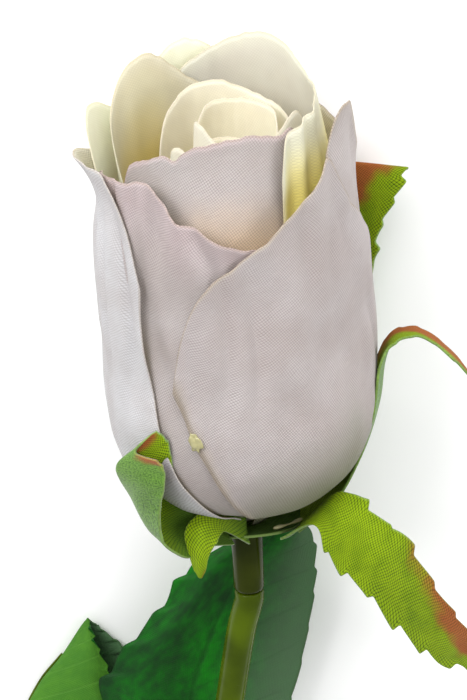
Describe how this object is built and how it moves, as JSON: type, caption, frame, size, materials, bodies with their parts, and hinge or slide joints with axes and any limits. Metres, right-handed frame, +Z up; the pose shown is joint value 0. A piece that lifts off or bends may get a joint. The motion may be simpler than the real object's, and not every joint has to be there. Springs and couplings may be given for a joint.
{
  "type": "artificial cut rose",
  "caption": "Artificial cut rose with woven cloth petals round a foam core, a cloth calyx, a moulded stem over a wire and a spray of cloth leaves, lying on its side.",
  "frame": {"origin": "bottom centre of the bounding box, on the surface that the rose lies on", "axes": "+Y runs from the cut end of the stem to the flower, +Z is up from the surface, +X is the flower's right seen from above"},
  "size_m": [0.08, 0.2358, 0.0451],
  "materials": {
    "petal_cloth_outer": "matt plain-woven polyester, white with a mauve-grey shade and pinkish rims",
    "petal_cloth_inner": "matt plain-woven polyester, cream dyed yellow and peach towards the base",
    "calyx_cloth": "matt woven cloth, green with red-brown tips",
    "leaf_cloth": "coated woven cloth, dark green above and pale green below",
    "moulded_plastic": "satin olive-green moulded polyethylene",
    "foam": "white expanded foam",
    "wire": "cut steel wire",
    "glue": "clear dried hot glue"
  },
  "bodies": {
    "root": {"petal_outer_front_right": "petal_cloth_outer", "petal_outer_left": "petal_cloth_outer", "petal_outer_front_left": "petal_cloth_outer", "petal_outer_right": "petal_cloth_outer", "petal_outer_back": "petal_cloth_outer", "petal_cup_left": "petal_cloth_inner", "petal_cup_back": "petal_cloth_inner", "petal_cup_front": "petal_cloth_inner", "petal_cup_right": "petal_cloth_inner", "petal_cup_back_left": "petal_cloth_inner", "petal_heart_back": "petal_cloth_inner", "petal_heart_front": "petal_cloth_inner", "petal_heart_right": "petal_cloth_inner", "petal_heart_left": "petal_cloth_inner", "petal_heart_roll": "petal_cloth_inner", "bud_core": "foam", "head_socket": "moulded_plastic", "calyx": "calyx_cloth", "glue_drop": "glue", "stem": "moulded_plastic", "stem_wire": "wire", "leaf_stalk": "moulded_plastic", "leaf_middle": "leaf_cloth", "leaf_left": "leaf_cloth", "leaf_right": "leaf_cloth"}
  },
  "joints": []
}
